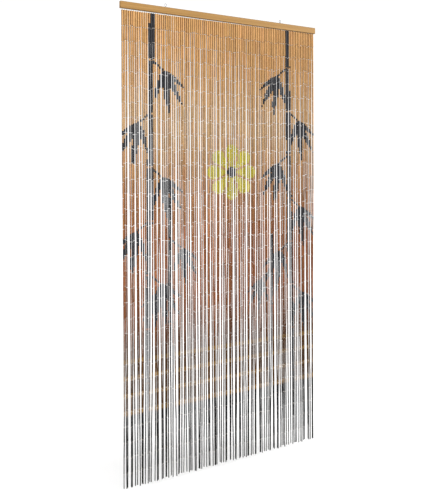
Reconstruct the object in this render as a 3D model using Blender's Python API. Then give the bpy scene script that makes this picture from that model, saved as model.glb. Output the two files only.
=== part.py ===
"""A bamboo door curtain: a wooden head rail, a hundred hanging bead strands and two screw eyes.

Metres, +Z up. X runs along the rail and the front faces -Y. The origin is midway between the
centres of the two eyes, where the curtain hangs.
"""

import math
import random
from collections import namedtuple

import bmesh
import bpy
from mathutils import Matrix, Vector

MM = 0.001
CLEARANCE = 0.3 * MM  # between pieces that touch
SEED = 11

# The rail
RAIL_LENGTH = 1000 * MM
RAIL_HEIGHT = 28.5 * MM
RAIL_DEPTH = 14 * MM
RAIL_EASING = 1.5 * MM  # rounding of its edges
RAIL_EASING_STEPS = 2

# The screw eyes
EYE_FROM_RAIL_END = 204.5 * MM
EYE_RING_RADIUS = 5.2 * MM  # to the middle of the wire
EYE_WIRE_RADIUS = 1.2 * MM
EYE_ABOVE_RAIL = 9.4 * MM  # from the rail's top to the ring's centre
EYE_SHANK_IN_RAIL = 14 * MM
EYE_RING_STEPS = 28
EYE_WIRE_SIDES = 8
SHARPEST_ROUNDED = math.radians(50)  # edges that bend less than this are shaded smooth

# The strip that the strands hang from, let into the rail's underside
STRIP_DEPTH = 3 * MM
STRIP_HEIGHT = 2.4 * MM
STRIP_PAST_STRANDS = 5 * MM

# The strands
STRAND_COUNT = 100
FIRST_STRAND_FROM_END = 10.3 * MM
LAST_STRAND_FROM_END = 12.9 * MM
CURTAIN_DROP = 2000 * MM  # from the rail's top to the lowest strand end
LINK_WIDTH = 1.6 * MM  # the wire that joins a strand to the rail
FIRST_LINK_DROP = 6.5 * MM  # from the rail's underside to the first strand's beads
LAST_LINK_DROP = 2.2 * MM  # and to the last strand's
LINK_SHORTENING = 1.6  # power by which the links get shorter from the first strand to the last
LINK_UNEVEN = 0.5 * MM
SHOULDER_DROP = 0.8 * MM  # over which a link widens to a bead
BEADS_PER_STRAND = 31
RAGGED_ENDS = 9 * MM  # how much shorter than the longest a strand may be
STRAND_GAP = 0.5 * MM  # least room left between neighbours
SPREADING_ROUNDS = 300
LEAN = 6 * MM  # of all strands, sideways, from their tops to their ends
SIDE_SWAY = 5.2 * MM  # of each strand to both sides, at the ends
SWAY_GROWTH = 0.7  # power by which the side sway grows on the way down
DEPTH_SWAY = 2.6 * MM  # to the front and back, at the ends

# Strands are strung from thick beads at the top to thin ones at the foot.
Section = namedtuple("Section", "beads_above bead_width")
SECTIONS = (
    Section(0, 9.2 * MM),
    Section(2, 8.5 * MM),
    Section(4, 7.9 * MM),
    Section(7, 7.3 * MM),
    Section(11, 6.9 * MM),
    Section(15, 6.6 * MM),
    Section(19, 6.2 * MM),
    Section(23, 5.8 * MM),
    Section(27, 5.3 * MM),
    Section(29, 4.7 * MM),
    Section(31, 3.8 * MM),
)

# The corners of a strand's section, in halves of its width and depth: an upright square where it
# leaves the strip, and turned on edge below that
ROOT_CORNERS = ((-1, -1), (1, -1), (1, 1), (-1, 1))
STRAND_CORNERS = ((0, -1), (1, 0), (0, 1), (-1, 0))

# Heights
RAIL_TOP = -EYE_ABOVE_RAIL
RAIL_BOTTOM = RAIL_TOP - RAIL_HEIGHT
STRANDS_BOTTOM = RAIL_TOP - CURTAIN_DROP

# Places along the rail
FIRST_STRAND = -RAIL_LENGTH / 2 + FIRST_STRAND_FROM_END
LAST_STRAND = RAIL_LENGTH / 2 - LAST_STRAND_FROM_END
PITCH = (LAST_STRAND - FIRST_STRAND) / (STRAND_COUNT - 1)
EYE_OFFSET = RAIL_LENGTH / 2 - EYE_FROM_RAIL_END


def clear_scene():
    for old in list(bpy.data.objects):
        bpy.data.objects.remove(old, do_unlink=True)


def material(name, colour, roughness, metallic=0.0):
    made = bpy.data.materials.new(name)
    made.use_nodes = True
    shader = made.node_tree.nodes["Principled BSDF"]
    shader.inputs["Base Color"].default_value = (*colour, 1.0)
    shader.inputs["Roughness"].default_value = roughness
    shader.inputs["Metallic"].default_value = metallic
    return made


def object_from(bm, name, finish=None):
    mesh = bpy.data.meshes.new(name)
    bmesh.ops.recalc_face_normals(bm, faces=bm.faces)
    bm.to_mesh(mesh)
    bm.free()
    made = bpy.data.objects.new(name, mesh)
    bpy.context.scene.collection.objects.link(made)
    if finish:
        mesh.materials.append(finish)
    return made


def box(name, low, high, finish=None, easing=0.0, steps=1):
    """A block between two corners, with its edges rounded by easing."""
    low, high = Vector(low), Vector(high)
    size = high - low
    bm = bmesh.new()
    bmesh.ops.create_cube(
        bm, size=1.0, matrix=Matrix.Translation((low + high) / 2) @ Matrix.Diagonal((*size, 1.0))
    )
    if easing:
        bmesh.ops.bevel(
            bm, geom=bm.edges, offset=easing, segments=steps, profile=0.5, affect="EDGES"
        )
    return object_from(bm, name, finish)


def upright_rod(name, x, radius, low, high, sides):
    bm = bmesh.new()
    bmesh.ops.create_cone(
        bm,
        cap_ends=True,
        segments=sides,
        radius1=radius,
        radius2=radius,
        depth=high - low,
        matrix=Matrix.Translation((x, 0, (low + high) / 2)),
    )
    return object_from(bm, name)


def shade_round(piece):
    piece.data.shade_smooth()
    piece.data.set_sharp_from_angle(angle=SHARPEST_ROUNDED)


def boolean(target, helper, operation):
    helper.hide_render = True
    helper.display_type = "WIRE"
    change = target.modifiers.new(f"{operation.lower()}_{helper.name}", "BOOLEAN")
    change.operation = operation
    change.solver = "EXACT"
    change.object = helper


def headrail(wood):
    """The batten, with the strip's groove in its underside and a bore for each eye's shank."""
    rail = box(
        "headrail",
        (-RAIL_LENGTH / 2, -RAIL_DEPTH / 2, RAIL_BOTTOM),
        (RAIL_LENGTH / 2, RAIL_DEPTH / 2, RAIL_TOP),
        wood,
        RAIL_EASING,
        RAIL_EASING_STEPS,
    )
    past = STRIP_PAST_STRANDS + CLEARANCE
    groove = box(
        "groove_cutter",
        (FIRST_STRAND - past, -STRIP_DEPTH / 2 - CLEARANCE, RAIL_BOTTOM - RAIL_EASING),
        (LAST_STRAND + past, STRIP_DEPTH / 2 + CLEARANCE, RAIL_BOTTOM + STRIP_HEIGHT + CLEARANCE),
    )
    boolean(rail, groove, "DIFFERENCE")
    for side, x in (("left", -EYE_OFFSET), ("right", EYE_OFFSET)):
        bore = upright_rod(
            f"bore_cutter_{side}",
            x,
            EYE_WIRE_RADIUS + CLEARANCE,
            RAIL_TOP - EYE_SHANK_IN_RAIL - CLEARANCE,
            RAIL_TOP + EYE_ABOVE_RAIL,
            EYE_WIRE_SIDES,
        )
        boolean(rail, bore, "DIFFERENCE")


def hanging_eye(side, x, steel):
    """A ring of wire that faces front and back, on a shank that goes down into the rail."""
    bm = bmesh.new()
    section = bmesh.ops.create_circle(
        bm,
        segments=EYE_WIRE_SIDES,
        radius=EYE_WIRE_RADIUS,
        matrix=Matrix.Translation((EYE_RING_RADIUS, 0, 0)),
    )
    edges = {edge for vertex in section["verts"] for edge in vertex.link_edges}
    bmesh.ops.spin(
        bm,
        geom=list(edges),
        cent=(0, 0, 0),
        axis=(0, 1, 0),
        angle=2 * math.pi,
        steps=EYE_RING_STEPS,
        use_merge=True,
    )
    bmesh.ops.translate(bm, verts=bm.verts, vec=(x, 0, 0))
    ring = object_from(bm, f"hanging_eye_{side}", steel)
    shank = upright_rod(
        f"shank_of_eye_{side}",
        x,
        EYE_WIRE_RADIUS,
        RAIL_TOP - EYE_SHANK_IN_RAIL,
        -EYE_RING_RADIUS,
        EYE_WIRE_SIDES,
    )
    shade_round(ring)
    shade_round(shank)
    boolean(ring, shank, "UNION")


def link_drop(index, draw):
    """From the rail's underside to the first bead of a strand."""
    share = (1 - index / (STRAND_COUNT - 1)) ** LINK_SHORTENING
    drop = LAST_LINK_DROP + (FIRST_LINK_DROP - LAST_LINK_DROP) * share
    return drop + LINK_UNEVEN * draw.uniform(-1, 1)


def strand_sections(index, draw):
    """[x, y, z, width, depth] down one strand, from the strip to its end, with no heed of its neighbours."""
    x = FIRST_STRAND + index * PITCH
    beads_top = RAIL_BOTTOM - link_drop(index, draw)
    found = [
        [x, 0.0, RAIL_BOTTOM, LINK_WIDTH, STRIP_DEPTH],
        [x, 0.0, beads_top + SHOULDER_DROP, LINK_WIDTH, LINK_WIDTH],
    ]
    drop = beads_top - STRANDS_BOTTOM - RAGGED_ENDS * draw.random()
    side_phase = draw.uniform(0, 2 * math.pi)
    side_turns = draw.uniform(0.2, 0.8)
    depth_phase = draw.uniform(0, 2 * math.pi)
    depth_turns = draw.uniform(0.3, 1.0)
    for section in SECTIONS:
        down = section.beads_above / BEADS_PER_STRAND
        sideways = math.sin(side_phase + 2 * math.pi * side_turns * down)
        forward = math.sin(depth_phase + 2 * math.pi * depth_turns * down)
        found.append(
            [
                x + SIDE_SWAY * down**SWAY_GROWTH * sideways + LEAN * down,
                DEPTH_SWAY * down * forward,
                beads_top - drop * down,
                section.bead_width,
                section.bead_width,
            ]
        )
    return found


def keep_apart(row):
    """Moves the neighbours in a row of sections sideways until all have their least gap."""
    for _ in range(SPREADING_ROUNDS):
        for left, right in zip(row, row[1:]):
            short = (left[3] + right[3]) / 2 + STRAND_GAP - (right[0] - left[0])
            if short > 0:
                left[0] -= short / 2
                right[0] += short / 2


def ring_of_four(bm, corners, x, y, z, width, depth):
    return [bm.verts.new((x + width / 2 * a, y + depth / 2 * b, z)) for a, b in corners]


def bridge(bm, upper, lower):
    for side in range(len(upper)):
        after = (side + 1) % len(upper)
        bm.faces.new((upper[side], upper[after], lower[after], lower[side]))


def hang_strand(bm, sections):
    """Bridges the sections of one strand, closes its end and returns the ring at its root."""
    rings = [ring_of_four(bm, ROOT_CORNERS, *sections[0])]
    rings += [ring_of_four(bm, STRAND_CORNERS, *section) for section in sections[1:]]
    for upper, lower in zip(rings, rings[1:]):
        bridge(bm, upper, lower)
    bm.faces.new(rings[-1])
    return rings[0]


def close_strip(bm, roots):
    """The strip round the strands' roots: its underside between them, its long sides and its top."""
    left, right = FIRST_STRAND - STRIP_PAST_STRANDS, LAST_STRAND + STRIP_PAST_STRANDS
    half, top = STRIP_DEPTH / 2, RAIL_BOTTOM + STRIP_HEIGHT
    low_left = [bm.verts.new((left, y, RAIL_BOTTOM)) for y in (-half, half)]
    low_right = [bm.verts.new((right, y, RAIL_BOTTOM)) for y in (-half, half)]
    top_left = [bm.verts.new((left, y, top)) for y in (-half, half)]
    top_right = [bm.verts.new((right, y, top)) for y in (-half, half)]
    ends = [low_left, *(pair for r in roots for pair in ((r[0], r[3]), (r[1], r[2]))), low_right]
    for before, after in zip(ends[::2], ends[1::2]):
        bm.faces.new((before[0], after[0], after[1], before[1]))
    for side in (0, 1):
        bm.faces.new([*(pair[side] for pair in ends), top_right[side], top_left[side]])
    bm.faces.new((top_left[0], top_right[0], top_right[1], top_left[1]))
    bm.faces.new((low_left[0], low_left[1], top_left[1], top_left[0]))
    bm.faces.new((low_right[0], low_right[1], top_right[1], top_right[0]))


def strands(bamboo):
    """A hundred four-sided strands on one strip, each with its own sway and length."""
    draw = random.Random(SEED)
    hung = [strand_sections(i, draw) for i in range(STRAND_COUNT)]
    for row in zip(*hung):
        keep_apart(row)
    bm = bmesh.new()
    roots = [hang_strand(bm, sections) for sections in hung]
    close_strip(bm, roots)
    object_from(bm, "strands", bamboo)


def main():
    clear_scene()
    wood = material("rail_wood", (0.51, 0.31, 0.13), 0.55)
    bamboo = material("bamboo", (0.45, 0.27, 0.12), 0.45)
    steel = material("eye_steel", (0.62, 0.62, 0.63), 0.35, 1.0)
    headrail(wood)
    strands(bamboo)
    for side, x in (("left", -EYE_OFFSET), ("right", EYE_OFFSET)):
        hanging_eye(side, x, steel)


main()
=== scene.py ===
"""The looks of the bamboo door curtain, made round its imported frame.

Every strand of the frame is dressed as a string of separate tube beads, each with a cut face and a
bore at both ends, and joined to the next by two small wire eyes. Metres, +Z up. X runs along the
rail, and the front faces -Y.
"""

import math
import random
from collections import namedtuple

import bmesh
import bpy
import numpy as np
from mathutils import Matrix, Vector


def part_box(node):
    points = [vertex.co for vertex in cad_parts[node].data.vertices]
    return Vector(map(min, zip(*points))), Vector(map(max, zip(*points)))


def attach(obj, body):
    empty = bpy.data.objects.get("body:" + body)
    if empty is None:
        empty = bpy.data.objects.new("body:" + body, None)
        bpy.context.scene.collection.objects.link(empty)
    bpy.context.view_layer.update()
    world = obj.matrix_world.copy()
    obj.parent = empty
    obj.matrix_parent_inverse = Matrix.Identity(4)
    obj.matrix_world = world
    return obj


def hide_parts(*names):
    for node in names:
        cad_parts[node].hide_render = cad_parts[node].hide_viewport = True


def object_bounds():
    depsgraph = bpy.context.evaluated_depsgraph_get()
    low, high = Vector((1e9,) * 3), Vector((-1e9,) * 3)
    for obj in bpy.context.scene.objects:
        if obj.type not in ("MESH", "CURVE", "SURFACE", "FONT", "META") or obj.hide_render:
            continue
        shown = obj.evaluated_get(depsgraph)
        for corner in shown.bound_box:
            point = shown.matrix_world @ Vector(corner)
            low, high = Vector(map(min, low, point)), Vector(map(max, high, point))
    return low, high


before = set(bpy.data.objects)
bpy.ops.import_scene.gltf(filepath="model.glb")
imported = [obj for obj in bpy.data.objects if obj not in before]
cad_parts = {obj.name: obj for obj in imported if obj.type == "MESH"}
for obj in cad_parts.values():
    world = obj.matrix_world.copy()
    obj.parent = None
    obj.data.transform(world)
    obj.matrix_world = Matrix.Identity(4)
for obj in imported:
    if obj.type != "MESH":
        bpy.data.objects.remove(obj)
cad_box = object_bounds()

MM = 0.001
SEED = 7
BODY = "root"

RAIL_LOW, RAIL_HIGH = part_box("headrail")
RAIL_TOP, RAIL_BOTTOM = RAIL_HIGH.z, RAIL_LOW.z

# The strands as the frame has them
SAME_POINT = 0.01 * MM
ROOT_LEVEL = RAIL_BOTTOM - 0.1 * MM  # the strip that they hang from lies above it

# Beads
BEADS_PER_STRAND = 31
BEAD_SIDES = 10
STRANDS_PER_PIECE = 20
CHAMFER = 0.35 * MM
BORE_SHARE = 0.34  # of a bead's radius
TAPER_SPREAD = 0.03
WAIST = 0.985  # radius half way along a bead, as a share of that at its ends
OVAL = 0.05  # how far from round a bead is
LENGTH_SPREAD = 0.042  # of a bead's length
RADIUS_SPREAD = 0.045  # as a share of a bead's radius
RADIUS_LIMITS = (0.94, 1.05)
FLAT_SIDES = 1.02  # a ring of flat sides looks narrower than a round bead by this much
SHARPEST_ROUNDED = math.radians(40)  # edges that bend less than this are shaded smooth
TOUCHING = 0.15 * MM  # least room between beads of neighbouring strands
SETTLING_ROUNDS = 40
TOP_JITTER, END_JITTER = 0.1 * MM, 0.5 * MM  # of a junction, sideways
DEPTH_JITTER = 0.6 * MM  # of a junction, to the front and back

# Wire eyes that join the beads
EYE_RADIUS = 0.85 * MM  # to the middle of the wire
WIRE_RADIUS = 0.4 * MM
EYE_REACH = 0.25 * MM  # from a bead's end to its eye's centre
CUT_SHORT = (-0.25 * MM, 0.5 * MM)  # how far a bead's end may draw back from its eye
SHANK_IN_BEAD = 2.0 * MM
STAPLE_IN_STRIP = 1.5 * MM
EYE_STEPS, WIRE_SIDES = 8, 3
STRIP_EASING = 0.25 * MM
LINK_GAP = 2 * EYE_REACH + 2 * (EYE_RADIUS - WIRE_RADIUS)  # between the ends of two whole beads
END_EYE = EYE_REACH + EYE_RADIUS + WIRE_RADIUS  # how far the last eye reaches below its bead


def srgb(red, green, blue):
    """A display colour, 0 to 255, as linear light."""

    def linear(value):
        value /= 255
        return value / 12.92 if value <= 0.04045 else ((value + 0.055) / 1.055) ** 2.4

    return np.array([linear(red), linear(green), linear(blue)])


# Painted shade along the rail's top and bottom edges, where its rounded edges turn away from the light.
SHADED_EDGE = 3 * MM  # how far the dark of the rail's edges reaches
EDGE_SHADE_TONE = 0.5
LIGHT_GRAIN, DARK_GRAIN = srgb(180, 139, 82), srgb(155, 115, 60)
EYE_STEEL, EYE_ROUGHNESS = (0.40, 0.40, 0.42), 0.38
LINK_WIRE, WIRE_ROUGHNESS = (0.34, 0.25, 0.17), 0.42

# The painted ground, from the rail's top down
Ground = namedtuple("Ground", "depth colour")
GROUND = (
    Ground(0.00, srgb(203, 154, 95)),
    Ground(0.25, srgb(195, 150, 97)),
    Ground(0.50, srgb(191, 157, 116)),
    Ground(0.65, srgb(177, 137, 94)),
    Ground(0.80, srgb(160, 114, 74)),
    Ground(1.00, srgb(145, 92, 56)),
    Ground(1.28, srgb(128, 77, 44)),
    Ground(1.42, srgb(92, 56, 30)),
    Ground(1.50, srgb(76, 48, 14)),
    Ground(1.69, srgb(72, 46, 14)),
)
STRIPES = (1.475, 1.545, 1.615, 1.685)  # depths of the plain border stripes
STRIPE_HEIGHT = 18 * MM
HEM_DEPTH = 1.70
HEM_UNEVEN = 3 * MM
STRIPE_COLOUR = srgb(120, 90, 44)
HEM_COLOUR = srgb(12, 12, 13)
SLATE = srgb(46, 46, 50)
YELLOW = srgb(186, 172, 56)
RAW_CUT = srgb(190, 158, 108)
INSIDE = srgb(120, 90, 58)
GROUND_CODE, STRIPE_CODE, HEM_CODE, SLATE_CODE, YELLOW_CODE, CUT_CODE, INSIDE_CODE = range(7)
FLAT_COLOURS = {
    STRIPE_CODE: STRIPE_COLOUR,
    HEM_CODE: HEM_COLOUR,
    SLATE_CODE: SLATE,
    YELLOW_CODE: YELLOW,
    CUT_CODE: RAW_CUT,
    INSIDE_CODE: INSIDE,
}

# The painted motifs: jointed bamboo stalks with sprigs of narrow leaves, and an eight-petalled
# flower. Depths run down from the rail's top, and angles turn from the right towards the floor.
Stalk = namedtuple("Stalk", "x lean width top segment leaf")
STALKS = (
    Stalk(0.365, -0.030, 27 * MM, 0.00, 0.205, 0.200),
    Stalk(0.235, 0.015, 17 * MM, 0.98, 0.170, 0.160),
    Stalk(-0.385, 0.030, 24 * MM, 0.00, 0.225, 0.190),
    Stalk(-0.265, -0.015, 17 * MM, 0.80, 0.180, 0.160),
)
STALK_FOOT = 1.75
NODE_SPLIT = 7 * MM
NODE_FLARE = 0.25
TWIG_REACH, TWIG_DROP, TWIG_WIDTH = 55 * MM, 45 * MM, 8 * MM
SPRIG_TURN = 26  # of a sprig, outwards from straight down
LEAF_TURNS = (-46, -17, 9, 34)  # of a sprig's leaves, from the way it hangs
LEAF_SIZES = (0.72, 1.0, 0.9, 0.66)
LEAF_WIDTH = 0.16  # as a share of a leaf's length
LEAF_DROOP = 0.10
FLOWER_X, FLOWER_DEPTH, FLOWER_RADIUS = 0.03, 0.70, 0.125
PETALS = 8
PETAL_SPLIT = 9 * MM
PETAL_NOTCH = 0.34  # how far the edge draws in between petals, as a share of the radius
FLOWER_EYE = 0.20  # radius of its middle, as a share of the flower's
PAINT_STEP = 1.5 * MM  # how finely the paint's edges are found along a strand


# Camera, light and floor

PHOTO_WIDTH, PHOTO_HEIGHT = 435, 495
FOCAL_PIXELS = 614.4
HORIZON_PIXEL = 168
SENSOR = 36.0
EYE_BELOW_RAIL = 0.681
CAMERA_PLACE = Vector((-1.3864, -2.3741, RAIL_TOP - EYE_BELOW_RAIL))
CAMERA_TURN = math.radians(-29.508)
FLOOR_BELOW = 25 * MM
FLOOR_RADIUS, FLOOR_SIDES = 30, 64
FLOOR_GREY, FLOOR_ROUGHNESS = 0.95, 0.8
DOME_LIGHT = 0.5
BACKDROP_LIGHT = 1.05
Sun = namedtuple("Sun", "name way light softness")  # light is what a white card facing it would show
SUNS = (
    Sun("key", (-0.75, 0.45, -0.28), 0.95, math.radians(25)),
    Sun("top", (0.0, 0.0, -1.0), 0.62, math.radians(40)),
)


def make_camera():
    """Level, as in the photo, with the horizon moved up by a shift of the sensor."""
    data = bpy.data.cameras.new("camera")
    data.sensor_fit = "VERTICAL"
    data.sensor_height = SENSOR
    data.sensor_width = SENSOR * PHOTO_WIDTH / PHOTO_HEIGHT
    data.lens = SENSOR * FOCAL_PIXELS / PHOTO_HEIGHT
    data.shift_y = (HORIZON_PIXEL - PHOTO_HEIGHT / 2) / PHOTO_HEIGHT
    camera = bpy.data.objects.new("camera", data)
    camera.location = CAMERA_PLACE
    camera.rotation_euler = (math.pi / 2, 0, CAMERA_TURN)
    bpy.context.scene.collection.objects.link(camera)
    bpy.context.scene.camera = camera


def soft_sun(sun):
    data = bpy.data.lights.new(sun.name, "SUN")
    data.energy = sun.light * math.pi
    data.angle = sun.softness
    light = bpy.data.objects.new(sun.name, data)
    light.rotation_euler = Vector(sun.way).to_track_quat("-Z", "Y").to_euler()
    bpy.context.scene.collection.objects.link(light)


def make_studio():
    """A white backdrop, a dimmer dome of light, a soft key from the front right and one from above."""
    world = bpy.data.worlds.new("studio")
    world.use_nodes = True
    nodes = Nodes(world.node_tree)
    background = world.node_tree.nodes["Background"]
    background.inputs["Color"].default_value = (1, 1, 1, 1)
    seen = nodes.add("ShaderNodeLightPath").outputs["Is Camera Ray"]
    strength = ranged(nodes, seen, 0, 1, DOME_LIGHT, BACKDROP_LIGHT)
    nodes.tree.links.new(strength, background.inputs["Strength"])
    bpy.context.scene.world = world
    bpy.context.scene.view_settings.view_transform = "Standard"
    for sun in SUNS:
        soft_sun(sun)


def make_floor():
    level = cad_box[0].z - FLOOR_BELOW
    bm = bmesh.new()
    place = Matrix.Translation((0, 0, level))
    bmesh.ops.create_circle(bm, cap_ends=True, segments=FLOOR_SIDES, radius=FLOOR_RADIUS, matrix=place)
    mesh = bpy.data.meshes.new("floor")
    bm.to_mesh(mesh)
    bm.free()
    floor = bpy.data.objects.new("floor", mesh)
    bpy.context.scene.collection.objects.link(floor)
    pale, shader, _ = new_material("pale_floor")
    shader.inputs["Base Color"].default_value = (FLOOR_GREY, FLOOR_GREY, FLOOR_GREY, 1)
    shader.inputs["Roughness"].default_value = FLOOR_ROUGHNESS
    mesh.materials.append(pale)


# Materials


class Nodes:
    """Adds nodes to one material and links them by socket name."""

    def __init__(self, tree):
        self.tree = tree

    def add(self, kind, inputs=None, **settings):
        node = self.tree.nodes.new(kind)
        for name, value in settings.items():
            setattr(node, name, value)
        for name, value in (inputs or {}).items():
            if isinstance(value, bpy.types.NodeSocket):
                self.tree.links.new(value, node.inputs[name])
            else:
                node.inputs[name].default_value = value
        return node


def new_material(name):
    made = bpy.data.materials.new(name)
    made.use_nodes = True
    shader = made.node_tree.nodes["Principled BSDF"]
    return made, shader, Nodes(made.node_tree)


def streaks(nodes, scale, detail=4.0, roughness=0.6):
    """Noise drawn out by a different scale along each axis."""
    place = nodes.add("ShaderNodeTexCoord").outputs["Object"]
    drawn = nodes.add("ShaderNodeMapping", {"Vector": place, "Scale": scale})
    return nodes.add(
        "ShaderNodeTexNoise",
        {"Vector": drawn.outputs["Vector"], "Scale": 1.0, "Detail": detail, "Roughness": roughness},
    ).outputs["Fac"]


def ranged(nodes, value, low, high, to_low, to_high):
    return nodes.add(
        "ShaderNodeMapRange",
        {"Value": value, "From Min": low, "From Max": high, "To Min": to_low, "To Max": to_high},
    ).outputs["Result"]


def product(nodes, a, b):
    return nodes.add("ShaderNodeMath", {0: a, 1: b}, operation="MULTIPLY").outputs["Value"]


def dimmed(nodes, colour, factor):
    scaled = nodes.add("ShaderNodeVectorMath", {0: colour, "Scale": factor}, operation="SCALE")
    return scaled.outputs["Vector"]


def bamboo_material():
    """Painted cane: the painted colour, fibre streaks along the bead, soft blotches and a dull gloss."""
    made, shader, nodes = new_material("painted_bamboo")
    shader.inputs["Specular IOR Level"].default_value = 0.2
    paint = nodes.add("ShaderNodeAttribute", attribute_name="paint").outputs["Color"]
    fibre = streaks(nodes, (1500, 1500, 32))
    blotch = streaks(nodes, (120, 120, 70), 2.0)
    fleck = streaks(nodes, (900, 900, 180), 3.0, 0.7)
    tone = product(
        nodes, ranged(nodes, fibre, 0.25, 0.75, 0.78, 1.2), ranged(nodes, blotch, 0.3, 0.7, 0.9, 1.1)
    )
    tone = product(nodes, tone, ranged(nodes, fleck, 0.62, 0.72, 1.0, 0.8))
    nodes.tree.links.new(dimmed(nodes, paint, tone), shader.inputs["Base Color"])
    nodes.tree.links.new(ranged(nodes, fibre, 0.3, 0.7, 0.36, 0.56), shader.inputs["Roughness"])
    bump = nodes.add("ShaderNodeBump", {"Height": fibre, "Strength": 0.35, "Distance": 0.0001})
    nodes.tree.links.new(bump.outputs["Normal"], shader.inputs["Normal"])
    return made


def rail_material():
    """Straight-grained light wood, with the grain along the rail and painted shade darkening its long
    edges.
    """
    made, shader, nodes = new_material("rail_wood_grain")
    shader.inputs["Specular IOR Level"].default_value = 0.2
    place = nodes.add("ShaderNodeTexCoord").outputs["Object"]
    height = nodes.add("ShaderNodeSeparateXYZ", {"Vector": place}).outputs["Z"]
    middle = (RAIL_TOP + RAIL_BOTTOM) / 2
    from_middle = nodes.add("ShaderNodeMath", {0: height, 1: middle}, operation="SUBTRACT")
    to_edge = nodes.add("ShaderNodeMath", {0: from_middle.outputs["Value"]}, operation="ABSOLUTE")
    half = (RAIL_TOP - RAIL_BOTTOM) / 2
    # Painted shade: darker towards the rail's top and bottom edges.
    edge_shade = ranged(nodes, to_edge.outputs["Value"], half - SHADED_EDGE, half, 1.0, EDGE_SHADE_TONE)
    fine = streaks(nodes, (9, 900, 900), 5.0, 0.65)
    broad = streaks(nodes, (1.6, 130, 130), 3.0, 0.5)
    pores = streaks(nodes, (60, 1600, 1600), 2.0, 0.7)
    ramp = nodes.add("ShaderNodeValToRGB", {"Fac": ranged(nodes, broad, 0.28, 0.72, 0.0, 1.0)})
    for stop, colour in zip(ramp.color_ramp.elements, (DARK_GRAIN, LIGHT_GRAIN)):
        stop.color = (*colour, 1)
    tone = product(
        nodes, ranged(nodes, fine, 0.28, 0.72, 0.86, 1.1), ranged(nodes, pores, 0.60, 0.70, 1.0, 0.82)
    )
    tone = product(nodes, tone, edge_shade)
    nodes.tree.links.new(dimmed(nodes, ramp.outputs["Color"], tone), shader.inputs["Base Color"])
    nodes.tree.links.new(ranged(nodes, fine, 0.3, 0.7, 0.42, 0.6), shader.inputs["Roughness"])
    bump = nodes.add("ShaderNodeBump", {"Height": fine, "Strength": 0.3, "Distance": 0.00015})
    nodes.tree.links.new(bump.outputs["Normal"], shader.inputs["Normal"])
    return made


def steel_material(name, colour, roughness):
    """Bright wire with faint drawing marks."""
    made, shader, nodes = new_material(name)
    shader.inputs["Metallic"].default_value = 1.0
    marks = streaks(nodes, (700, 700, 700), 3.0)
    toned = dimmed(nodes, (*colour,), ranged(nodes, marks, 0.3, 0.7, 0.85, 1.08))
    nodes.tree.links.new(toned, shader.inputs["Base Color"])
    nodes.tree.links.new(
        ranged(nodes, marks, 0.3, 0.7, roughness - 0.07, roughness + 0.1), shader.inputs["Roughness"]
    )
    return made


# The strands, read from the frame


def islands(bm):
    """The separate groups of joined vertices."""
    left = set(bm.verts)
    while left:
        group, waiting = [], [left.pop()]
        while waiting:
            vertex = waiting.pop()
            group.append(vertex)
            near = {edge.other_vert(vertex) for edge in vertex.link_edges} & left
            left -= near
            waiting.extend(near)
        yield group


def strand_lines():
    """Each strand's sections below its link, top to bottom, as rows of x, y, z and width."""
    bm = bmesh.new()
    bm.from_mesh(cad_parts["strands"].data)
    bmesh.ops.remove_doubles(bm, verts=bm.verts, dist=SAME_POINT)
    above = [v for v in bm.verts if v.co.z > ROOT_LEVEL]
    bmesh.ops.delete(bm, geom=above, context="VERTS")
    lines = []
    for group in islands(bm):
        points = np.array(sorted((tuple(v.co) for v in group), key=lambda p: -p[2]))
        rings = points.reshape(-1, 4, 3)
        width = rings[:, :, 0].max(1) - rings[:, :, 0].min(1)
        lines.append(np.column_stack([rings.mean(1), width])[1:])
    bm.free()
    return sorted(lines, key=lambda line: line[0, 0])


# The painted design


def depth_of(z):
    return RAIL_TOP - z


def stalk_middle(stalk, depth):
    return stalk.x + stalk.lean * (STALK_FOOT - depth) / (STALK_FOOT - stalk.top)


def stalk_covers(stalk, x, depth):
    """Inside a jointed stalk that leans, with a thin split and a flare at each node."""
    in_segment = np.mod(depth - stalk.top, stalk.segment) / stalk.segment
    flare = 1 + NODE_FLARE * np.abs(2 * in_segment - 1) ** 8
    whole = in_segment * stalk.segment > NODE_SPLIT
    inside = np.abs(x - stalk_middle(stalk, depth)) <= stalk.width / 2 * flare
    return (depth >= stalk.top) & (depth <= STALK_FOOT) & whole & inside


def leaf_covers(base_x, base_depth, angle, length, x, depth):
    """Inside a pointed leaf that starts narrow, is widest before its middle and droops to its tip."""
    turn = math.radians(angle)
    right, down = x - base_x, depth - base_depth
    along = (right * math.cos(turn) + down * math.sin(turn)) / length
    sag = LEAF_DROOP * length * np.clip(along, 0, 1) ** 2 * math.cos(turn)
    across = -right * math.sin(turn) + down * math.cos(turn) - sag
    half = LEAF_WIDTH / 2 * length * np.sin(np.pi * np.clip(along, 0, 1) ** 0.7) ** 0.9
    return (along > 0) & (along < 1) & (np.abs(across) <= half)


def twig_covers(from_x, from_depth, run, drop, x, depth):
    length = math.hypot(run, drop)
    along = ((x - from_x) * run + (depth - from_depth) * drop) / length
    across = ((x - from_x) * drop - (depth - from_depth) * run) / length
    return (along >= 0) & (along <= length) & (np.abs(across) <= TWIG_WIDTH / 2)


def foliage_covers(stalk, x, depth):
    """Inside the twigs and leaves of a stalk: a sprig from every node, to each side in turn."""
    covered = np.zeros(depth.shape, bool)
    side = -math.copysign(1, stalk.x)
    node = stalk.top + stalk.segment
    while node + TWIG_DROP + stalk.leaf < STRIPES[0]:
        from_x = stalk_middle(stalk, node)
        covered |= twig_covers(from_x, node, side * TWIG_REACH, TWIG_DROP, x, depth)
        tip_x, tip_depth = from_x + side * TWIG_REACH, node + TWIG_DROP
        for turned, share in zip(LEAF_TURNS, LEAF_SIZES):
            angle = 90 - side * (SPRIG_TURN + turned)
            covered |= leaf_covers(tip_x, tip_depth, angle, stalk.leaf * share, x, depth)
        side = -side
        node += stalk.segment
    return covered


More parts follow.
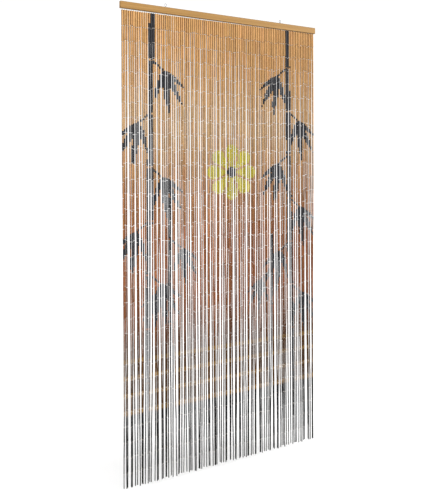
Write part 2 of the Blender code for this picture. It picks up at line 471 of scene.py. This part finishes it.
def flower_codes(x, depth):
    """A flower of rounded petals, parted from each other, round a dark middle."""
    right, down = x - FLOWER_X, depth - FLOWER_DEPTH
    radius = np.hypot(right, down)
    from_petal = np.abs(np.cos(np.arctan2(down, right) * PETALS / 2))
    edge = FLOWER_RADIUS * (1 - PETAL_NOTCH + PETAL_NOTCH * from_petal**0.7)
    parted = radius * from_petal * 2 / PETALS < PETAL_SPLIT / 2
    codes = np.where((radius <= edge) & ~parted, YELLOW_CODE, GROUND_CODE)
    return np.where(radius <= FLOWER_EYE * FLOWER_RADIUS, SLATE_CODE, codes)


def paint_codes(x, depth, uneven):
    """Which paint lies at each depth of the strand at x. uneven moves the hem's upper edge."""
    codes = np.full(depth.shape, GROUND_CODE)
    for stripe in STRIPES:
        codes[np.abs(depth - stripe) <= STRIPE_HEIGHT / 2] = STRIPE_CODE
    flower = flower_codes(x, depth)
    codes = np.where(flower != GROUND_CODE, flower, codes)
    for stalk in STALKS:
        codes[stalk_covers(stalk, x, depth) | foliage_covers(stalk, x, depth)] = SLATE_CODE
    codes[depth > HEM_DEPTH + uneven] = HEM_CODE
    return codes


def ground_colours(depth):
    depths = [row.depth for row in GROUND]
    return np.column_stack([np.interp(depth, depths, [row.colour[c] for row in GROUND]) for c in range(3)])


# Natural canes differ a little: some are more orange, some pinker, some greener, some paler.
CANE_TINTS = np.array(
    [[1.0, 1.0, 1.0], [1.05, 0.97, 0.91], [1.0, 0.91, 0.99], [0.99, 1.0, 0.92], [1.1, 1.1, 1.13]]
)
TINT_WEIGHTS = (0.42, 0.16, 0.17, 0.13, 0.12)
TONE_SPREAD = 0.15  # of one bead
STRAND_TONE_SPREAD = 0.13  # of a whole strand
VARIETY_DEPTHS, VARIETY = (0.3, 1.0), (0.4, 1.0)  # the upper beads are more alike than the lower ones
# Painted shade: each bead's sides, where it faces its neighbours, are painted darker in place of the shade
# between beads.
SIDE_SHADE_START, SIDE_SHADE_TONE = 0.75, 0.3  # where a bead's sides start to darken, and how dark they end
PAINT_HIDES = {  # the share of the cane's own tint that each paint covers
    GROUND_CODE: 0.0,
    STRIPE_CODE: 0.5,
    HEM_CODE: 0.8,
    SLATE_CODE: 0.75,
    YELLOW_CODE: 0.7,
    CUT_CODE: 0.4,
    INSIDE_CODE: 0.5,
}


# Beads


def strand_grid(lines, draw):
    """Junctions and bead radii of every strand: x, y, z as (junction, strand), radii as (bead, strand)."""
    count = len(lines)
    shape = (BEADS_PER_STRAND + 1, count)
    x, y, z = np.zeros(shape), np.zeros(shape), np.zeros(shape)
    radius = np.zeros((BEADS_PER_STRAND, count))
    for i, line in enumerate(lines):
        lengths = 1 + LENGTH_SPREAD * draw.standard_normal(BEADS_PER_STRAND)
        down = np.concatenate([[0], np.cumsum(lengths)]) / lengths.sum()
        z[:, i] = line[0, 2] + (line[-1, 2] - line[0, 2]) * down
        x[:, i] = np.interp(-z[:, i], -line[:, 2], line[:, 0])
        y[:, i] = np.interp(-z[:, i], -line[:, 2], line[:, 1])
        middle = (z[1:, i] + z[:-1, i]) / 2
        radius[:, i] = np.interp(-middle, -line[:, 2], line[:, 3]) / 2
    radius *= FLAT_SIDES * np.clip(1 + RADIUS_SPREAD * draw.standard_normal(radius.shape), *RADIUS_LIMITS)
    share = np.linspace(0, 1, BEADS_PER_STRAND + 1)[:, None]
    x[1:] += ((TOP_JITTER + (END_JITTER - TOP_JITTER) * share) * draw.uniform(-1, 1, shape))[1:]
    y[1:] += (DEPTH_JITTER * np.sqrt(share) * draw.uniform(-1, 1, shape))[1:]
    settle(x, radius)
    return x, y, z, radius


def settle(x, radius):
    """Moves junctions apart, row by row, until no bead lies in a neighbour."""
    above = np.vstack([radius[:1], radius])
    below = np.vstack([radius, radius[-1:]])
    widest = np.maximum(above, below)
    least = widest[:, 1:] + widest[:, :-1] + TOUCHING
    for _ in range(SETTLING_ROUNDS):
        short = np.maximum(least - (x[:, 1:] - x[:, :-1]), 0) / 2
        short[0] = 0
        x[:, 1:] += short
        x[:, :-1] -= short


class BeadMesh:
    """Collects the rings and bands of many beads, then makes one mesh of them."""

    def __init__(self):
        self.rings = []  # centre, two directions across, radius
        self.bands = []  # upper ring, lower ring, paint code, bead number
        self.beads = []  # tint and tone

    def ring(self, centre, across, ahead, radius):
        self.rings.append((*centre, *across, *ahead, radius))
        return len(self.rings) - 1

    def band(self, upper, lower, code):
        self.bands.append((upper, lower, code, len(self.beads) - 1))


def cut_points(codes, depths, top, end):
    """Depths strictly between top and end where the paint changes."""
    changes = np.nonzero(np.diff(codes))[0]
    found = (depths[changes] + depths[changes + 1]) / 2
    return [d for d in found if top + 2 * CHAMFER < d < end - 2 * CHAMFER]


def add_bead(mesh, top, end, radius, strand_tone, codes, depths, draw):
    """One tube bead: cut faces, eased rims, a bore, and a wall that is split where the paint changes."""
    top, end = Vector(top), Vector(end)
    axis = (end - top).normalized()
    spin = draw.uniform(0, math.pi)
    across = axis.orthogonal().normalized()
    across = (Matrix.Rotation(spin, 3, axis) @ across).normalized()
    ahead = axis.cross(across)
    across, ahead = across * (1 + OVAL / 2), ahead * (1 - OVAL / 2)
    length = (end - top).length
    variety = np.interp(depth_of(top.z), VARIETY_DEPTHS, VARIETY)
    tint = 1 + variety * (CANE_TINTS[draw.choice(len(CANE_TINTS), p=TINT_WEIGHTS)] - 1)
    tone = (strand_tone * math.exp(TONE_SPREAD * draw.standard_normal())) ** variety
    mesh.beads.append((*tint, tone))
    taper = 1 + TAPER_SPREAD * draw.uniform(-1, 1)

    def ring(along, ring_radius):
        return mesh.ring(top + axis * along, across, ahead, ring_radius)

    high, low = depth_of(top.z), depth_of(end.z)
    splits = [(d - high) * length / (low - high) for d in cut_points(codes, depths, high, low)]
    stops = sorted([CHAMFER, length / 2, length - CHAMFER, *splits])
    first, last = radius * taper, radius / taper
    bore = radius * BORE_SHARE
    wall = []
    for along in stops:
        share = along / length
        waist = 1 - (1 - WAIST) * math.sin(math.pi * share)
        wall.append(ring(along, (first + (last - first) * share) * waist))
    mouth, rim = ring(0, bore), ring(0, first - CHAMFER)
    end_rim, end_mouth = ring(length, last - CHAMFER), ring(length, bore)

    def code_at(along):
        depth = high + (low - high) * along / length
        return codes[min(len(codes) - 1, max(0, int(round((depth - depths[0]) / PAINT_STEP))))]

    mesh.band(mouth, rim, CUT_CODE)
    mesh.band(rim, wall[0], code_at(CHAMFER))
    for (a, b), (upper, lower) in zip(zip(stops, stops[1:]), zip(wall, wall[1:])):
        mesh.band(upper, lower, code_at((a + b) / 2))
    mesh.band(wall[-1], end_rim, code_at(length - CHAMFER))
    mesh.band(end_rim, end_mouth, CUT_CODE)
    mesh.band(end_mouth, mouth, INSIDE_CODE)


def bead_object(mesh, name, finish):
    """Turns the collected rings and bands into one smooth-shaded mesh, painted by a corner attribute."""
    rings = np.array(mesh.rings)
    turn = np.linspace(0, 2 * math.pi, BEAD_SIDES, endpoint=False)
    centre, across, ahead, radius = rings[:, 0:3], rings[:, 3:6], rings[:, 6:9], rings[:, 9]
    points = centre[:, None] + radius[:, None, None] * (
        np.cos(turn)[None, :, None] * across[:, None] + np.sin(turn)[None, :, None] * ahead[:, None]
    )
    bands = np.array(mesh.bands)
    side = np.arange(BEAD_SIDES)
    after = (side + 1) % BEAD_SIDES
    upper, lower = bands[:, 0, None] * BEAD_SIDES, bands[:, 1, None] * BEAD_SIDES
    faces = np.stack([upper + side, upper + after, lower + after, lower + side], axis=2).reshape(-1, 4)
    data = bpy.data.meshes.new(name)
    data.from_pydata(points.reshape(-1, 3).tolist(), [], faces.tolist())
    colours = np.stack([band_colours(mesh, bands, rings, end) for end in (0, 0, 1, 1)], axis=1)
    corners = np.repeat(colours[:, None], BEAD_SIDES, axis=1).reshape(-1, 3)
    # Painted shade on each bead's sides, between neighbouring beads.
    corners *= painted_side_shade(across, ahead, turn).reshape(-1)[faces.reshape(-1), None]
    attribute = data.color_attributes.new("paint", "FLOAT_COLOR", "CORNER")
    attribute.data.foreach_set("color", np.column_stack([corners, np.ones(len(corners))]).ravel())
    data.shade_smooth()
    data.set_sharp_from_angle(angle=SHARPEST_ROUNDED)
    data.materials.append(finish)
    made = bpy.data.objects.new(name, data)
    bpy.context.scene.collection.objects.link(made)
    return made


def painted_side_shade(across, ahead, turn):
    """How dark each point of each ring is: painted shade on the sides where beads face their neighbours."""
    sideways = np.abs(np.cos(turn) * across[:, :1] + np.sin(turn) * ahead[:, :1])
    return np.interp(sideways, (SIDE_SHADE_START, 1.0), (1.0, SIDE_SHADE_TONE))


def band_colours(mesh, bands, rings, end):
    """The paint of each band at its upper (0) or lower (1) ring, toned by the bead's own cane."""
    depth = depth_of(rings[bands[:, end], 2])
    colours = ground_colours(depth)
    codes = bands[:, 2]
    for code, flat in FLAT_COLOURS.items():
        colours[codes == code] = flat
    hides = np.array([PAINT_HIDES[code] for code in sorted(PAINT_HIDES)])[codes][:, None]
    cane = np.array(mesh.beads)[bands[:, 3]]
    return colours * (hides + (1 - hides) * cane[:, :3]) * cane[:, 3:4]


def make_beads(lines, finish):
    """All beads, in pieces of a few strands each. Returns the pieces and every bead's two ends."""
    draw = np.random.default_rng(SEED)
    x, y, z, radius = strand_grid(lines, draw)
    depths = np.arange(depth_of(z.max()) - PAINT_STEP, depth_of(z.min()) + PAINT_STEP, PAINT_STEP)
    pieces, ends = [], []
    for first in range(0, len(lines), STRANDS_PER_PIECE):
        mesh = BeadMesh()
        for i in range(first, min(first + STRANDS_PER_PIECE, len(lines))):
            uneven = HEM_UNEVEN * draw.uniform(-1, 1)
            strand_tone = math.exp(STRAND_TONE_SPREAD * draw.standard_normal())
            codes = paint_codes(x[:, i].mean(), depths, uneven)
            joints = [Vector(p) for p in zip(x[:, i], y[:, i], z[:, i])]
            for k, (upper, lower) in enumerate(zip(joints, joints[1:])):
                axis = (lower - upper).normalized()
                top = upper + axis * (LINK_GAP / 2 if k else 0)
                end = lower - axis * (LINK_GAP / 2 if k < BEADS_PER_STRAND - 1 else END_EYE)
                ends.append((tuple(top), tuple(end)))
                top += axis * (draw.uniform(*CUT_SHORT) if k else 0)
                end -= axis * draw.uniform(*CUT_SHORT)
                add_bead(mesh, top, end, radius[k, i], strand_tone, codes, depths, draw)
        number = first // STRANDS_PER_PIECE + 1
        pieces.append(bead_object(mesh, f"bead_strands_{number}", finish))
    return pieces, ends


# Wire eyes


def eye_template():
    """A ring of wire with a closed shank: points (across, along the axis, ahead), walls and shank ends."""
    points, faces = [], []
    for step in range(EYE_STEPS):
        turn = 2 * math.pi * step / EYE_STEPS
        for side in range(WIRE_SIDES):
            roll = 2 * math.pi * side / WIRE_SIDES
            out = EYE_RADIUS + WIRE_RADIUS * math.cos(roll)
            across, along = out * math.cos(turn), EYE_REACH + out * math.sin(turn)
            points.append((across, along, WIRE_RADIUS * math.sin(roll)))
            after_step, after_side = (step + 1) % EYE_STEPS, (side + 1) % WIRE_SIDES
            faces.append(
                (
                    step * WIRE_SIDES + side,
                    after_step * WIRE_SIDES + side,
                    after_step * WIRE_SIDES + after_side,
                    step * WIRE_SIDES + after_side,
                )
            )
    start = len(points)
    for along in (-SHANK_IN_BEAD, EYE_REACH - EYE_RADIUS):
        for side in range(WIRE_SIDES):
            roll = 2 * math.pi * side / WIRE_SIDES
            points.append((WIRE_RADIUS * math.cos(roll), along, WIRE_RADIUS * math.sin(roll)))
    for side in range(WIRE_SIDES):
        after = (side + 1) % WIRE_SIDES
        faces.append((start + side, start + WIRE_SIDES + side, start + WIRE_SIDES + after, start + after))
    low_end = [start + side for side in range(WIRE_SIDES)]
    high_end = [start + 2 * WIRE_SIDES - 1 - side for side in range(WIRE_SIDES)]
    return np.array(points), np.array(faces), np.array([low_end, high_end])


def make_eyes(name, places, finish):
    """One mesh of wire eyes. Each place is where a shank starts, the way it points, its turn and length."""
    template, walls, shank_ends = eye_template()
    far_end = template[:, 1] <= -SHANK_IN_BEAD
    found = []
    for place, way, turn, shank in places:
        points = template.copy()
        points[far_end, 1] = -shank
        way = Vector(way).normalized()
        across = Matrix.Rotation(turn, 3, way) @ way.orthogonal().normalized()
        ahead = across.cross(way)
        found.append(np.array(place) + points @ np.array([across, way, ahead]))
    offsets = (np.arange(len(places)) * len(template))[:, None, None]
    data = bpy.data.meshes.new(name)
    faces = (walls + offsets).reshape(-1, 4).tolist()
    faces += (shank_ends + offsets).reshape(-1, WIRE_SIDES).tolist()
    data.from_pydata(np.concatenate(found).tolist(), [], faces)
    data.shade_smooth()
    data.materials.append(finish)
    made = bpy.data.objects.new(name, data)
    bpy.context.scene.collection.objects.link(made)
    return made


def make_links(lines, ends, finish):
    """The eyes in both ends of every bead, and the staples that hold the top ones."""
    draw = random.Random(SEED)
    uppers, lowers = [], []
    for top, end in ends:
        way = Vector(end) - Vector(top)
        turn = draw.uniform(0, math.pi)
        uppers.append((top, -way, turn, SHANK_IN_BEAD))
        lowers.append((end, way, turn + math.pi / 2, SHANK_IN_BEAD))
    staples = []
    for line in lines:
        leaves = line[0, 2] + LINK_GAP
        shank = RAIL_BOTTOM + STAPLE_IN_STRIP - leaves
        staples.append(((line[0, 0], line[0, 1], leaves), (0, 0, -1), draw.uniform(0, math.pi), shank))
    half = len(ends) // 2
    return [
        make_eyes("link_eyes_1", uppers[:half] + staples, finish),
        make_eyes("link_eyes_2", uppers[half:], finish),
        make_eyes("link_eyes_3", lowers[:half], finish),
        make_eyes("link_eyes_4", lowers[half:], finish),
    ]


def make_strip(lines, finish):
    """The strip in the rail's groove that the staples are driven into."""
    corners = np.array([v.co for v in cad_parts["strands"].data.vertices])
    strip = corners[corners[:, 2] > ROOT_LEVEL]
    low, high = Vector(strip.min(0)), Vector(strip.max(0))
    bm = bmesh.new()
    place = Matrix.Translation((low + high) / 2) @ Matrix.Diagonal((*(high - low), 1))
    bmesh.ops.create_cube(bm, size=1, matrix=place)
    bmesh.ops.bevel(bm, geom=bm.edges, offset=STRIP_EASING, segments=2, profile=0.5, affect="EDGES")
    data = bpy.data.meshes.new("strand_strip")
    bm.to_mesh(data)
    bm.free()
    data.materials.append(finish)
    made = bpy.data.objects.new("strand_strip", data)
    bpy.context.scene.collection.objects.link(made)
    return made


def repaint(node, finish):
    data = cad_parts[node].data
    data.materials.clear()
    data.materials.append(finish)


make_camera()
make_studio()
make_floor()

wood = rail_material()
bright = steel_material("eye_steel", EYE_STEEL, EYE_ROUGHNESS)
wire = steel_material("link_wire", LINK_WIRE, WIRE_ROUGHNESS)
repaint("headrail", wood)
repaint("hanging_eye_left", bright)
repaint("hanging_eye_right", bright)

strand_rows = strand_lines()
bead_pieces, bead_ends = make_beads(strand_rows, bamboo_material())
for piece in bead_pieces:
    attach(piece, BODY)
    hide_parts("strands")
for piece in make_links(strand_rows, bead_ends, wire):
    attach(piece, BODY)
    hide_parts("strands")
strip_piece = make_strip(strand_rows, wood)
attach(strip_piece, BODY)
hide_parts("strands")
